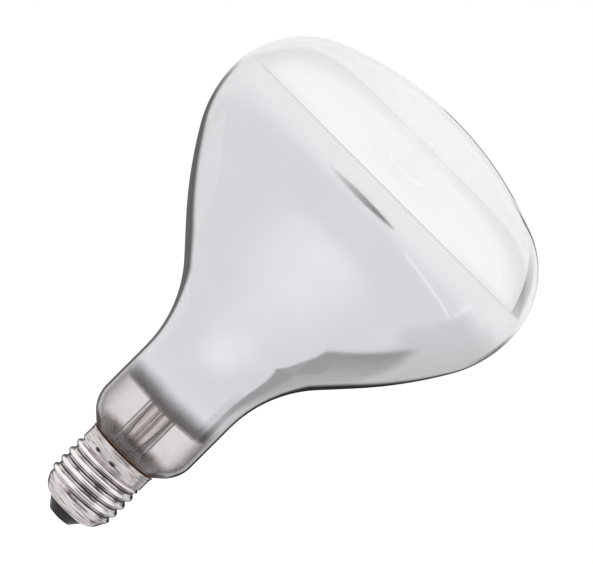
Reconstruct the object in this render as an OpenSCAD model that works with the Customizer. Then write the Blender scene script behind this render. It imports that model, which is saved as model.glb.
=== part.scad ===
// Infrared reflector bulb: a blown glass reflector, mirrored inside, on an
// Edison screw cap. The lamp stands on the Z axis with its cap down: z = 0 is
// the solder on the centre contact, and the face looks along +Z.

/* [Glass] */
// Largest diameter of the bulb
bulb_d = 125; // [120:1:135]
// Wall of the blown glass
glass_t = 0.9; // [0.6:0.1:1.2]
// Diameter of the straight neck
neck_d = 38.4; // [36:0.2:41]
// Length of the straight neck
neck_l = 18; // [14:0.5:24]
// Radius of the fillet from the neck to the bowl
neck_fillet_r = 43; // [36:1:48]
// Half angle of the bowl's cone, from the axis
cone_angle = 42.2; // [40:0.1:44]
// Length of the straight cone below the bowl's long curve
cone_l = 11.73; // [8:0.01:16]
// Angle, from the axis, where the bowl's curve meets the shoulder
shoulder_angle = 30; // [26:0.5:32]
// Radius of the shoulder behind the widest place
back_shoulder_r = 41; // [36:1:46]
// Radius of the shoulder in front of the widest place
front_shoulder_r = 32; // [28:0.5:34]
// Height of the domed face above the widest place
face_h = 38; // [36:0.5:42]

/* [Seal] */
// Radius of the shoulder at the foot of the neck
foot_shoulder_r = 12; // [10:0.5:14]
// Angle, from the axis, of the cone that sits on the cap
seat_angle = 47.8; // [44:0.2:52]
// Thickness of the cement between the glass and the cap's skirt
cement_t = 0.75; // [0.4:0.05:1.2]
// How far the glass reaches down into the cap
seal_depth = 3.4; // [2.6:0.1:3.8]

/* [Mirror] */
// Thickness of the aluminium film, drawn thicker than the real one
film_t = 0.12; // [0.1:0.01:0.2]
// How far the film reaches down the straight neck
film_neck_reach = 10; // [6:0.5:13]
// How far the film reaches past the widest place
film_face_reach = 6.8; // [4:0.2:12]

/* [Screw cap] */
// Height of the cap, from the solder to the rim
cap_h = 30.4; // [29.4:0.1:32]
// Diameter over the thread
thread_d = 26.3; // [26.15:0.05:26.45]
// Rise of the thread in one turn
pitch = 3.629; // [3.6:0.001:3.66]
// Radius of the rolled thread's crest and root
thread_arc_r = 1.025; // [1:0.005:1.05]
// Diameter of the plain skirt above the thread
skirt_d = 25.5; // [25.3:0.1:25.9]
// Length of the plain skirt
skirt_l = 6; // [5.5:0.1:6.5]
// How far the rim is turned out
lip = 0.3; // [0.2:0.05:0.4]
// Thickness of the cap's sheet
sheet_t = 0.3; // [0.2:0.02:0.34]
// Radius of the cap's rounded bottom
cap_arc_r = 6.2; // [5.8:0.1:6.6]
// Diameter of the hole in the cap's bottom
cap_hole_d = 14; // [13.4:0.1:14.6]
// Turn of the thread's start about the axis
thread_turn = 180; // [0:5:355]

/* [Centre contact] */
// Height of the black bead that shows below the cap's sheet
bead_h = 3.5; // [3:0.1:4]
// Diameter of the bead's end
bead_end_d = 9.2; // [8.6:0.1:10]
// Height of the bead inside the cap
bead_inner_h = 3.4; // [2.6:0.1:4]
// Diameter of the contact plate
plate_d = 6.6; // [6:0.1:7.4]
// Thickness of the contact plate
plate_t = 0.4; // [0.3:0.05:0.5]
// How far the plate stands out of the bead
plate_proud = 0.2; // [0.1:0.05:0.25]
// Height of the solder button below the plate
solder_h = 0.35; // [0.25:0.05:0.5]
// Diameter of the solder button
solder_d = 4; // [3:0.1:4.6]

/* [Stem] */
// Diameter of the stem's tube
stem_d = 11.6; // [11:0.1:12.4]
// Wall of the stem's tube
stem_t = 1; // [0.8:0.1:1.2]
// Radius of the flare at the tube's foot
flare_r = 8; // [7:0.1:9]
// Length of the straight tube, from the flare to the press
stem_tube_l = 14; // [11:0.5:17]
// Width of the flattened press
press_w = 14.6; // [13.6:0.1:15.6]
// Thickness of the flattened press
press_t = 4.4; // [4:0.1:5]
// Height of the taper from the tube to the press
press_taper_h = 4.5; // [4:0.1:6]
// Height of the press above its taper
press_h = 8; // [6.5:0.5:10]
// Diameter of the exhaust tube
exhaust_d = 3.2; // [2.8:0.1:3.4]
// Wall of the exhaust tube
exhaust_t = 0.7; // [0.5:0.1:0.8]
// How far the exhaust tube's sealed tip hangs below the flare
exhaust_drop = 9; // [6:0.5:10]

/* [Wires] */
// Distance between the two wires in the press
lead_gap = 9.6; // [9:0.2:10.4]
// Distance between the two wires at the foot of the stem's tube
lead_foot_gap = 6; // [5.4:0.1:6.4]
// Diameter of the copper wires
copper_d = 0.5; // [0.4:0.02:0.54]
// Diameter of the wires sealed in the glass
seal_wire_d = 0.6; // [0.5:0.05:0.7]
// Diameter of the nickel wires
nickel_d = 0.9; // [0.7:0.05:1]
// Diameter of the support hooks' wire
hook_d = 0.4; // [0.3:0.05:0.5]

/* [Filament] */
// Height of the filament's ring above the press
mount_h = 46; // [38:1:52]
// Radius of the filament's ring
ring_r = 16; // [13:0.5:18]
// Diameter of the coiled filament
coil_d = 1.2; // [0.9:0.1:1.5]
// Angle that the filament's ring spans
ring_span = 300; // [270:5:310]
// Diameter of the glass rod on the press
rod_d = 3.5; // [3:0.1:4]
// Diameter of the rod's button
button_d = 6; // [5:0.2:7]
// Height of the rod's button
button_h = 4; // [3.5:0.1:5]
// How far the button lies below the filament's ring
button_drop = 7; // [5:0.5:9]

/* [Hidden] */
$fn = 120;

// Clearance between pieces that lie against each other on a curve
seat = 0.05;
// The nickel leads: straight rise off the press, straight end below the coil
// with its last stretch, and the radius of the bends between them
lead_rise = 8;
lead_end_l = 10;
lead_end_drop = 1;
lead_bend_r = 3;
// Clearance round a wire that is sealed in glass
wire_room = 0.02;
// How far below the rim the glass lands on the cap's edge, and the weld ends
land_drop = 0.6;
weld_drop = 1.2;
// A length that is surely longer than any radius here
far = 300;

bulb_r = bulb_d / 2;
neck_r = neck_d / 2;
seal_r = skirt_d / 2 - sheet_t - cement_t;
stem_r = stem_d / 2;
exhaust_r = exhaust_d / 2;
hole_r = cap_hole_d / 2;
copper_r = copper_d / 2;
seal_wire_r = seal_wire_d / 2;
nickel_r = nickel_d / 2;
hook_r = hook_d / 2;
coil_r = coil_d / 2;

function ray(a) = [cos(a), sin(a)];
function smooth(t) = let (u = min(1, max(0, t))) u * u * (3 - 2 * u);

// Outline of the glass, as [radius, height], from the cap's rim upwards. Each
// arc meets the next on a shared radius, so the outline has no corner there.
seat_z = cap_h - land_drop;
foot_point = [neck_r - foot_shoulder_r, 0] + foot_shoulder_r * ray(-seat_angle);
foot_z = seat_z + (foot_point[0] - seal_r) / tan(seat_angle) - foot_point[1];
foot_c = [neck_r - foot_shoulder_r, foot_z];
neck_top_z = foot_z + neck_l;
fillet_c = [neck_r + neck_fillet_r, neck_top_z];
cone_low = fillet_c - neck_fillet_r * ray(-cone_angle);
cone_high = cone_low + cone_l * [sin(cone_angle), cos(cone_angle)];
bowl_r = (bulb_r - back_shoulder_r * (1 - cos(shoulder_angle)) - cone_high[0])
    / (cos(shoulder_angle) - cos(cone_angle));
bowl_c = cone_high - bowl_r * ray(-cone_angle);
back_c = bowl_c + (bowl_r - back_shoulder_r) * ray(-shoulder_angle);
widest_z = back_c[1];
front_c = [bulb_r - front_shoulder_r, widest_z];
face_rise = face_h - front_shoulder_r;
face_sink = (front_c[0] * front_c[0] - face_rise * face_rise) / (2 * face_rise);
face_r = face_h + face_sink;
face_c = [0, widest_z - face_sink];
face_angle = atan2(face_sink, front_c[0]);

// Levels of the seal, the stem and the press
seal_z = cap_h - seal_depth;
flare_c = [stem_r + flare_r, seal_z + flare_r];
press_low_z = flare_c[1] + stem_tube_l;
press_flat_z = press_low_z + press_taper_h;
press_top_z = press_flat_z + press_h;
// The roof of the stem's hollow, and the rise of the vent above it
joint_z = press_low_z + 3;
vent_rise = 1.3;
ring_z = press_top_z + mount_h;
button_z = ring_z - button_drop;

// Levels of the cap and its bead
plate_z = solder_h;
bead_z = plate_z + plate_proud;
edge_z = bead_z + bead_h;
thread_h = 2 * (thread_arc_r - sqrt(pow(thread_arc_r, 2) - pow(pitch / 4, 2)));
root_r = thread_d / 2 - thread_h;
cap_arc_x = root_r - cap_arc_r;
cap_arc_z = edge_z + sqrt(pow(cap_arc_r, 2) - pow(hole_r - cap_arc_x, 2));
skirt_z = cap_h - skirt_l;
bead_top_z = edge_z + bead_inner_h;
// Over these heights the skirt widens, the lip turns out, and the thread runs
// out at its lower and its upper end
skirt_step_h = 0.7;
lip_h = 1.2;
thread_foot_h = 3.4;
thread_foot_drop = 2.4;
thread_head_h = 1.3;
thread_head_rise = 0.3;
// Share of a pitch by which the crest is lifted at the thread's start
crest_lift = 0.43;

// Places of the hooks and the leads about the axis
support_count = 5;
ring_start = -90 + (360 - ring_span) / 2;
support_step = ring_span / (support_count + 1);

// Points of an arc, without its first, which ends the stretch before it
function arc(c, r, from, to) = let (n = ceil(abs(to - from) / 2.5))
    [for (k = [1:n]) c + r * ray(from + (to - from) * k / n)];

// Half outline of the glass from the top of its face to the seal, set in by a
// distance, with the same number of points at every inset
function outline(inset) = concat(
    [[0, face_c[1] + face_r - inset]],
    arc(face_c, face_r - inset, 90, face_angle),
    arc(front_c, front_shoulder_r - inset, face_angle, 0),
    arc(back_c, back_shoulder_r - inset, 0, -shoulder_angle),
    arc(bowl_c, bowl_r - inset, -shoulder_angle, -cone_angle),
    [cone_low - inset * ray(-cone_angle)],
    arc(fillet_c, neck_fillet_r + inset, 180 - cone_angle, 180),
    [[neck_r - inset, foot_z]],
    arc(foot_c, foot_shoulder_r - inset, 0, -seat_angle),
    [[seal_r - inset, seat_z + inset * tan(seat_angle / 2)], [seal_r - inset, seal_z]]
);

// The skin between two insets
module skin(outer, inner) {
    back = outline(inner);
    polygon(concat(outline(outer), [for (i = [len(back) - 1:-1:0]) back[i]]));
}

module bulb_envelope() {
    color([0.86, 0.84, 0.85, 0.35])
        rotate_extrude() skin(0, glass_t);
}

module reflector_coating() {
    film_low_z = neck_top_z - film_neck_reach;
    film_high_z = widest_z + film_face_reach;
    film_out = glass_t + seat / 2;
    color([0.90, 0.89, 0.92])
        rotate_extrude()
            intersection() {
                skin(film_out, film_out + film_t);
                translate([0, film_low_z]) square([bulb_r, film_high_z - film_low_z]);
            }
}

// The stem's flare and straight tube, as a half section
module stem_section() {
    difference() {
        intersection() {
            translate(flare_c) circle(flare_r + stem_t);
            translate([0, seal_z - stem_t]) square([seal_r, flare_r + stem_t]);
        }
        translate(flare_c) circle(flare_r);
        translate([seal_r - glass_t - seat, seal_z]) square(far);
    }
    translate([stem_r - stem_t, flare_c[1]]) square([stem_t, stem_tube_l]);
}

// The stem's head, from the round tube to the flat press, set in by a wall
// and cut off at a height
module press_body(inset, high_z) {
    half_w = press_w / 2 - inset;
    half_t = press_t / 2 - inset;
    tube_r = stem_r - inset;
    intersection() {
        rotate_extrude()
            polygon([
                [0, press_low_z], [tube_r, press_low_z], [half_w, press_flat_z],
                [half_w, press_top_z], [0, press_top_z]
            ]);
        rotate([90, 0, 90])
            translate([0, 0, -press_w])
                linear_extrude(2 * press_w)
                    polygon([
                        [-tube_r - 1, press_low_z - 1], [tube_r + 1, press_low_z - 1],
                        [tube_r + 1, press_low_z], [half_t, press_flat_z],
                        [half_t, press_top_z + 1], [-half_t, press_top_z + 1],
                        [-half_t, press_flat_z], [-tube_r - 1, press_low_z]
                    ]);
        translate([-press_w, -press_w, press_low_z])
            cube([2 * press_w, 2 * press_w, high_z - press_low_z]);
    }
}

module stem_tube() {
    color([0.84, 0.86, 0.85, 0.4]) {
        rotate_extrude() stem_section();
        difference() {
            press_body(0, press_top_z);
            press_body(stem_t, joint_z);
            for (x = [-lead_gap / 2, lead_gap / 2])
                translate([x, 0, joint_z - 1])
                    cylinder(r = seal_wire_r + wire_room, h = press_top_z - joint_z + 2);
            // The way from the exhaust tube into the bulb, which it was emptied by
            translate([0, 0, joint_z - 1])
                cylinder(r = exhaust_r - exhaust_t, h = vent_rise + 1);
            translate([0, 0, joint_z + vent_rise])
                rotate([-90, 0, 0])
                    cylinder(r = exhaust_r - exhaust_t, h = stem_r + 1);
        }
    }
}

// The exhaust tube is fused to the press and melted shut at its tip
module exhaust_tube() {
    tip_z = seal_z - exhaust_drop;
    bore_r = exhaust_r - exhaust_t;
    color([0.84, 0.86, 0.85, 0.4])
        rotate_extrude()
            difference() {
                union() {
                    translate([0, tip_z + exhaust_r])
                        square([exhaust_r, joint_z - tip_z - exhaust_r]);
                    intersection() {
                        translate([0, tip_z + exhaust_r]) circle(exhaust_r);
                        translate([0, tip_z]) square(exhaust_d);
                    }
                }
                translate([0, tip_z + 2 * exhaust_r]) square([bore_r, far]);
            }
}

// A wire swept along a list of points: frames are carried from ring to ring
function unit(v) = v / norm(v);
function heading(p, i) = unit(p[min(i + 1, len(p) - 1)] - p[max(i - 1, 0)]);
function across(n, t) = unit(n - (n * t) * t);
function sides(p, i = 0, n = [0.3, 1, 0.2]) = let (s = across(n, heading(p, i)))
    i == len(p) - 1 ? [s] : concat([s], sides(p, i + 1, s));

module wire(p, r, corners = 8) {
    rings = len(p);
    normal = sides(p);
    points = [for (i = [0:rings - 1], k = [0:corners - 1])
        let (s = normal[i], t = cross(heading(p, i), s), a = 360 * k / corners)
        p[i] + r * (cos(a) * s + sin(a) * t)];
    faces = concat(
        [[for (k = [0:corners - 1]) k]],
        [for (i = [0:rings - 2], k = [0:corners - 1])
            let (a = i * corners, b = a + corners, n = (k + 1) % corners)
            [a + k, b + k, b + n, a + n]],
        [[for (k = [corners - 1:-1:0]) (rings - 1) * corners + k]]
    );
    polyhedron(points, faces);
}

// Points of a route whose corners are rounded over a reach on either side
function bent(p, reach) = concat([p[0]], [for (i = [1:len(p) - 2])
    let (a = p[i] + reach * unit(p[i - 1] - p[i]), b = p[i] + reach * unit(p[i + 1] - p[i]))
    for (t = [0:0.25:1]) (1 - t) * (1 - t) * a + 2 * t * (1 - t) * p[i] + t * t * b],
    [p[len(p) - 1]]);

// Points of a hook in the plane of the axis: x runs outwards, z upwards
function hook_arc(r, from, to, step) =
    [for (a = [from:step:to]) [ring_r + r * cos(a), 0, ring_z + r * sin(a)]];
function turned(p, a) =
    [for (q = p) [q[0] * cos(a) - q[1] * sin(a), q[0] * sin(a) + q[1] * cos(a), q[2]]];

module seal_wire(side) {
    color([0.72, 0.36, 0.26])
        translate([side * lead_gap / 2, 0, joint_z - 0.5])
            cylinder(r = seal_wire_r, h = press_top_z - joint_z + 1.5, $fn = 32);
}

module seal_wire_left() { seal_wire(-1); }
module seal_wire_right() { seal_wire(1); }

// Where a copper wire leaves the press and runs down inside the stem's tube
function stem_route(side) = [
    [side * lead_gap / 2, 0, joint_z - 0.5],
    [side * lead_gap / 2, 0, joint_z - 0.9],
    [side * (stem_r - stem_t - copper_r - 0.15), 0, press_low_z],
    [side * lead_foot_gap / 2, 0, flare_c[1]]
];

// From the press down through the bead to the contact plate
module outer_lead_centre() {
    foot = -lead_foot_gap / 2;
    color([0.80, 0.50, 0.36])
        wire(bent(concat(stem_route(-1), [
            [foot, 0, seal_z - exhaust_drop],
            [0, 0, bead_top_z + 1.5],
            [0, 0, plate_z]
        ]), 0.3), copper_r);
}

// From the press down, round the flare's rim and up beside the glass
module outer_lead_side() {
    foot = lead_foot_gap / 2;
    gap_x = (seal_r + skirt_d / 2 - sheet_t) / 2;
    under_z = seal_z - stem_t - copper_d;
    color([0.80, 0.50, 0.36])
        wire(bent(concat(stem_route(1), [
            [foot, 0, under_z],
            [gap_x, 0, under_z],
            [gap_x, 0, seat_z - weld_drop]
        ]), 0.3), copper_r);
}

// From the press up to the filament's end, which it hooks round
module inner_lead(side) {
    hook = coil_r / cos(support_step / 2) + nickel_r + 2 * seat;
    end_angle = side > 0 ? ring_start : ring_start + ring_span;
    stand = [ring_r + hook, 0];
    foot = turned([
        [stand[0], 0, ring_z - lead_end_l],
        [stand[0], 0, ring_z - lead_end_drop]
    ], end_angle);
    color([0.74, 0.73, 0.70])
        wire(concat(
            bent([
                [side * lead_gap / 2, 0, press_top_z + 1],
                [side * lead_gap / 2, 0, press_top_z + lead_rise],
                foot[0],
                foot[1]
            ], lead_bend_r),
            turned(hook_arc(hook, 0, 200, 25), end_angle)
        ), nickel_r);
}

module inner_lead_left() { inner_lead(-1); }
module inner_lead_right() { inner_lead(1); }

// The coiled wire hangs in straight lengths from hook to hook
module filament() {
    steps = support_count + 1;
    color([0.45, 0.44, 0.43])
        wire([for (i = [0:steps])
            let (a = ring_start + i * support_step)
            [ring_r * cos(a), ring_r * sin(a), ring_z]
        ], coil_r);
}

hook_foot = [button_d / 2 - 1.5, button_z];
hook_knee = [ring_r - 4, ring_z - 1.6];
hook_tilt = atan2(hook_knee[1] - hook_foot[1], hook_knee[0] - hook_foot[0]);

module support(i) {
    loop_r = coil_r + hook_r * (1 + tan(support_step / 2)) + seat;
    color([0.55, 0.55, 0.54])
        wire(turned(concat(
            bent([
                [hook_foot[0], 0, hook_foot[1]],
                [hook_knee[0], 0, hook_knee[1]],
                [ring_r, 0, ring_z - loop_r]
            ], 1),
            hook_arc(loop_r, -65, 205, 30)
        ), ring_start + i * support_step), hook_r);
}

module support_1() { support(1); }
module support_2() { support(2); }
module support_3() { support(3); }
module support_4() { support(4); }
module support_5() { support(5); }

// A glass rod with a melted button, which holds the hooks
module button_rod() {
    button_r = button_d / 2;
    color([0.84, 0.86, 0.85, 0.4])
        difference() {
            rotate_extrude() {
                translate([0, press_top_z]) square([rod_d / 2, button_z - press_top_z]);
                translate([0, button_z - button_h / 2]) square([button_r - 1, button_h]);
                translate([0, button_z - button_h / 2 + 1]) square([button_r, button_h - 2]);
                for (z = [-1, 1])
                    translate([button_r - 1, button_z + z * (button_h / 2 - 1)]) circle(1);
            }
            for (i = [1:support_count])
                rotate(ring_start + i * support_step)
                    translate([hook_foot[0], 0, hook_foot[1]])
                        rotate([0, 90 - hook_tilt, 0])
                            translate([0, 0, -0.05])
                                cylinder(r = hook_r + wire_room, h = button_r, $fn = 24);
        }
}

// Radius of the cap's sheet without its thread, set in by the sheet
function cap_r(z, inset) = z < cap_arc_z
    ? cap_arc_x + sqrt(max(0, pow(cap_arc_r - inset, 2) - pow(cap_arc_z - z, 2)))
    : root_r - inset + (skirt_d / 2 - root_r) * smooth((z - skirt_z) / skirt_step_h)
        + lip * smooth((z - cap_h + lip_h) / lip_h);

// Height of the rolled thread above its root, a fraction f of a pitch off its crest
function ridge(f) = let (x = pitch * abs(f - round(f)), y = pitch / 2 - x)
    x < pitch / 4
        ? thread_h - thread_arc_r + sqrt(pow(thread_arc_r, 2) - x * x)
        : thread_arc_r - sqrt(pow(thread_arc_r, 2) - y * y);

// The thread runs out where the sheet rounds in and where the skirt begins
function strength(z) = smooth((z - cap_arc_z + thread_foot_drop) / thread_foot_h)
    * smooth((skirt_z + thread_head_rise - z) / thread_head_h);

function shell_ring(z, inset, columns) = [for (i = [0:columns - 1])
    let (a = 360 * i / columns, f = (z - cap_arc_z) / pitch - (a - thread_turn) / 360)
    let (r = cap_r(z, inset) + strength(z) * ridge(f - crest_lift))
    [r * cos(a), r * sin(a), z]];

// Heights of the sheet's rows: its rounded bottom, the thread, the step to the
// skirt and the lip
function shell_levels(inset) =
    let (edge_angle = acos((hole_r - cap_arc_x) / (cap_arc_r - inset)))
    let (head_z = skirt_z + thread_head_rise)
    concat(
        [for (k = [5:-1:1]) cap_arc_z - (cap_arc_r - inset) * sin(edge_angle * k / 5)],
        [for (k = [0:26]) cap_arc_z + (head_z - cap_arc_z) * k / 26],
        [for (k = [1:3]) head_z + skirt_step_h * k / 3],
        [for (k = [4:-1:0]) cap_h - lip_h * k / 4]
    );

module screw_shell() {
    columns = 40;
    outside = shell_levels(0);
    inside = shell_levels(sheet_t);
    rows = 2 * len(outside);
    rings = concat(
        [for (z = outside) shell_ring(z, 0, columns)],
        [for (k = [len(inside) - 1:-1:0]) shell_ring(inside[k], sheet_t, columns)]
    );
    points = [for (ring = rings, p = ring) p];
    faces = [for (j = [0:rows - 1], i = [0:columns - 1])
        let (a = j * columns, b = ((j + 1) % rows) * columns, n = (i + 1) % columns)
        for (t = [[a + i, b + i, b + n], [a + i, b + n, a + n]]) t];
    color([0.78, 0.77, 0.76])
        polyhedron(points, faces);
}

module cap_insulator() {
    in_r = cap_arc_r - sheet_t - 2 * seat;
    color([0.13, 0.13, 0.14])
        rotate_extrude()
            difference() {
                union() {
                    polygon([
                        [0, bead_z], [bead_end_d / 2 - 0.6, bead_z],
                        [bead_end_d / 2, bead_z + 0.6], [hole_r - seat, edge_z],
                        [hole_r - seat, edge_z + 1], [0, edge_z + 1]
                    ]);
                    intersection() {
                        translate([cap_arc_x, cap_arc_z]) circle(in_r);
                        translate([0, edge_z - 1]) square([root_r, bead_top_z - edge_z + 1]);
                    }
                    translate([0, edge_z]) square([hole_r - 1, bead_top_z - edge_z]);
                }
                translate([0, bead_z - 1])
                    square([plate_d / 2 + seat, plate_t - plate_proud + 1]);
                square([copper_r + 0.3, far]);
            }
}

module contact_plate() {
    color([0.80, 0.64, 0.36])
        translate([0, 0, plate_z])
            difference() {
                cylinder(d = plate_d, h = plate_t);
                translate([0, 0, -1]) cylinder(r = copper_r + seat, h = plate_t + 2, $fn = 32);
            }
}

module contact_solder() {
    color([0.66, 0.67, 0.69])
        rotate_extrude()
            polygon([
                [0, 0], [solder_d * 0.28, 0], [solder_d * 0.42, solder_h * 0.35],
                [solder_d / 2, solder_h], [0, solder_h]
            ]);
}

// Cement between the glass and the skirt, with a way through for the side wire
module basing_cement() {
    out_r = skirt_d / 2 - sheet_t - 2 * seat;
    low_z = skirt_z + 0.75;
    slot_w = copper_d + 0.3;
    color([0.42, 0.30, 0.22])
        difference() {
            rotate_extrude()
                polygon([
                    [seal_r + seat, low_z], [out_r, low_z], [out_r, cap_h - 0.3],
                    [seal_r + seat + 0.35, cap_h - 0.3], [seal_r + seat, seat_z - 0.1]
                ]);
            translate([0, -slot_w / 2, low_z - 1]) cube([far, slot_w, far]);
        }
}

// The bead that joins the side wire to the skirt, just under the rim
module side_weld() {
    gap_x = (seal_r + skirt_d / 2 - sheet_t) / 2;
    room = (skirt_d / 2 - sheet_t - seal_r) / 2;
    color([0.66, 0.67, 0.69])
        translate([gap_x, 0, seat_z - weld_drop])
            cylinder(r = room - seat / 2, h = 1, $fn = 24);
}

bulb_envelope();
reflector_coating();
stem_tube();
exhaust_tube();
button_rod();
seal_wire_left();
seal_wire_right();
outer_lead_centre();
outer_lead_side();
inner_lead_left();
inner_lead_right();
filament();
support_1();
support_2();
support_3();
support_4();
support_5();
screw_shell();
cap_insulator();
contact_plate();
contact_solder();
basing_cement();
side_weld();
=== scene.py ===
import bpy
import math
from mathutils import Matrix, Vector


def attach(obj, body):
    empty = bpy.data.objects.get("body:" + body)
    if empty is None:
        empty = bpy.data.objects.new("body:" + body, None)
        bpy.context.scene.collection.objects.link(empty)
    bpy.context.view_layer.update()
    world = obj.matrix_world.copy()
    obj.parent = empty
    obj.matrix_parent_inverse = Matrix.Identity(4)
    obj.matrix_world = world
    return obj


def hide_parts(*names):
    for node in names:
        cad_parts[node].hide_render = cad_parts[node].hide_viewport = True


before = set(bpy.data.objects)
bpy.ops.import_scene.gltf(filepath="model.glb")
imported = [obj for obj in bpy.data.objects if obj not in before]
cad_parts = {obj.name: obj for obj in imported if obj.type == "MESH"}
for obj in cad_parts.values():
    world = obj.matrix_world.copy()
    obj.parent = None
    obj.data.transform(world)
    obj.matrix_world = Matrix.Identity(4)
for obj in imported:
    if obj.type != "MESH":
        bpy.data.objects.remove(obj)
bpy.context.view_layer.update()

scene = bpy.context.scene
print("frame loaded:", len(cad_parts), "solids")


# Small tools. Sizes in the settings are in millimetres, meshes are in metres.

def metres(points):
    return [(x / 1000, y / 1000, z / 1000) for x, y, z in points]


def linear(hexColour):
    channels = [int(hexColour[i:i + 2], 16) / 255 for i in (1, 3, 5)]
    return [c / 12.92 if c <= 0.04045 else ((c + 0.055) / 1.055) ** 2.4 for c in channels] + [1]


def smoothStep(t):
    t = min(1, max(0, t))
    return t * t * (3 - 2 * t)


def ray(angle):
    return math.cos(math.radians(angle)), math.sin(math.radians(angle))


def addNode(tree, kind, inputs=None, **settings):
    # An input takes a value, a socket, or a node for its first output in use
    node = tree.nodes.new(kind)
    for name, value in settings.items():
        setattr(node, name, value)
    for key, value in (inputs or {}).items():
        if isinstance(value, bpy.types.Node):
            value = next(socket for socket in value.outputs if socket.enabled)
        if isinstance(value, bpy.types.NodeSocket):
            tree.links.new(value, node.inputs[key])
        else:
            node.inputs[key].default_value = value
    return node


def newMaterial(name):
    material = bpy.data.materials.new(name)
    material.use_nodes = True
    material.node_tree.nodes.clear()
    tree = material.node_tree
    place = addNode(tree, "ShaderNodeTexCoord").outputs["Object"]
    return material, tree, place


def finishMaterial(tree, shader):
    addNode(tree, "ShaderNodeOutputMaterial", {"Surface": shader})


def newPiece(name, points, faces, material, sharpAngle=40):
    mesh = bpy.data.meshes.new(name)
    mesh.from_pydata(metres(points), [], faces)
    mesh.materials.append(material)
    mesh.shade_smooth()
    mesh.set_sharp_from_angle(angle=math.radians(sharpAngle))
    piece = bpy.data.objects.new(name, mesh)
    scene.collection.objects.link(piece)
    return piece


def seatPiece(piece, slotName, *nodes):
    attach(piece, "root")
    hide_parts(*nodes)


def loft(rings, segments):
    # Rings of (half width, half depth, height, power) in a closed loop, outer wall
    # going up. Power 2 is an ellipse, and a ring without width is one point.
    points, numbers, faces = [], [], []
    for wide, thick, height, power in rings:
        start = len(points)
        if wide < 1e-6:
            points.append((0, 0, height))
            numbers.append([start] * segments)
            continue
        for i in range(segments):
            c, v = ray(360 * i / segments)
            points.append((wide * math.copysign(abs(c) ** (2 / power), c),
                thick * math.copysign(abs(v) ** (2 / power), v), height))
        numbers.append(list(range(start, start + segments)))
    for low, high in zip(numbers, numbers[1:] + numbers[:1]):
        for i in range(segments):
            n = (i + 1) % segments
            corners = list(dict.fromkeys((low[i], low[n], high[n], high[i])))
            if len(corners) > 2:
                faces.append(corners)
    return points, faces


def lathe(profile, segments):
    # A closed profile of (radius, height), turned about Z
    return loft([(radius, radius, height, 2) for radius, height in profile], segments)


def sweep(path, radius, sides=14):
    # A round wire along a list of points, with flat ends
    path = [Vector(p) for p in path]
    points, faces, normal = [], [], Vector((0.3, 1, 0.2))  # along no wire
    for i, point in enumerate(path):
        heading = (path[min(i + 1, len(path) - 1)] - path[max(i - 1, 0)]).normalized()
        normal = (normal - normal.dot(heading) * heading).normalized()
        side = heading.cross(normal)
        for k in range(sides):
            angle = 2 * math.pi * k / sides
            points.append(point + radius * (math.cos(angle) * normal + math.sin(angle) * side))
    for i in range(len(path) - 1):
        for k in range(sides):
            a, n = i * sides, (k + 1) % sides
            faces.append([a + k, a + n, a + sides + n, a + sides + k])
    faces.append(list(range(sides - 1, -1, -1)))
    faces.append([(len(path) - 1) * sides + k for k in range(sides)])
    return [tuple(p) for p in points], faces


def roundedRoute(corners, reach, steps=8):
    corners = [Vector(c) for c in corners]
    route = [corners[0]]
    for before, corner, after in zip(corners, corners[1:], corners[2:]):
        start = corner + min(reach, (before - corner).length / 2) * (before - corner).normalized()
        end = corner + min(reach, (after - corner).length / 2) * (after - corner).normalized()
        for k in range(steps + 1):
            t = k / steps
            route.append((1 - t) ** 2 * start + 2 * t * (1 - t) * corner + t * t * end)
    return route + [corners[-1]]


def turnedAbout(points, angle):
    c, s = ray(angle)
    return [(p[0] * c - p[1] * s, p[0] * s + p[1] * c, p[2]) for p in points]


def newTree(name, numbers):
    # A Geometry Nodes tree with a named input for each size
    tree = bpy.data.node_groups.new(name, "GeometryNodeTree")
    tree.interface.new_socket("Geometry", in_out="INPUT", socket_type="NodeSocketGeometry")
    for inputName, value in numbers.items():
        kind = "NodeSocketInt" if isinstance(value, int) else "NodeSocketFloat"
        tree.interface.new_socket(inputName, in_out="INPUT", socket_type=kind)
    tree.interface.new_socket("Geometry", in_out="OUTPUT", socket_type="NodeSocketGeometry")
    return tree, addNode(tree, "NodeGroupInput").outputs


def closeTree(tree, geometry, material):
    real = addNode(tree, "GeometryNodeRealizeInstances", {0: geometry})
    painted = addNode(tree, "GeometryNodeSetMaterial", {"Geometry": real})
    painted.inputs["Material"].default_value = material
    addNode(tree, "NodeGroupOutput", {0: painted})


def runTree(piece, tree, numbers, sharpAngle=40):
    # The result becomes the piece's plain mesh, and the modifier goes
    modifier = piece.modifiers.new(tree.name, "NODES")
    modifier.node_group = tree
    for socket in tree.interface.items_tree:
        if socket.in_out == "INPUT" and socket.name in numbers:
            modifier[socket.identifier] = numbers[socket.name]
    shown = piece.evaluated_get(bpy.context.evaluated_depsgraph_get())
    mesh = bpy.data.meshes.new_from_object(shown)
    piece.modifiers.remove(modifier)
    piece.data = mesh
    mesh.name = piece.name
    mesh.shade_smooth()
    mesh.set_sharp_from_angle(angle=math.radians(sharpAngle))


# Camera: a little above level, rolled so that the lamp's face points to the
# upper right of the picture

cameraSettings = {
    "aim": (0.9, 0, 108.7),
    "distance": 886,
    "elevation": 2.85,
    "roll": 45,
    "lens": 166.8,
}


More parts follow.
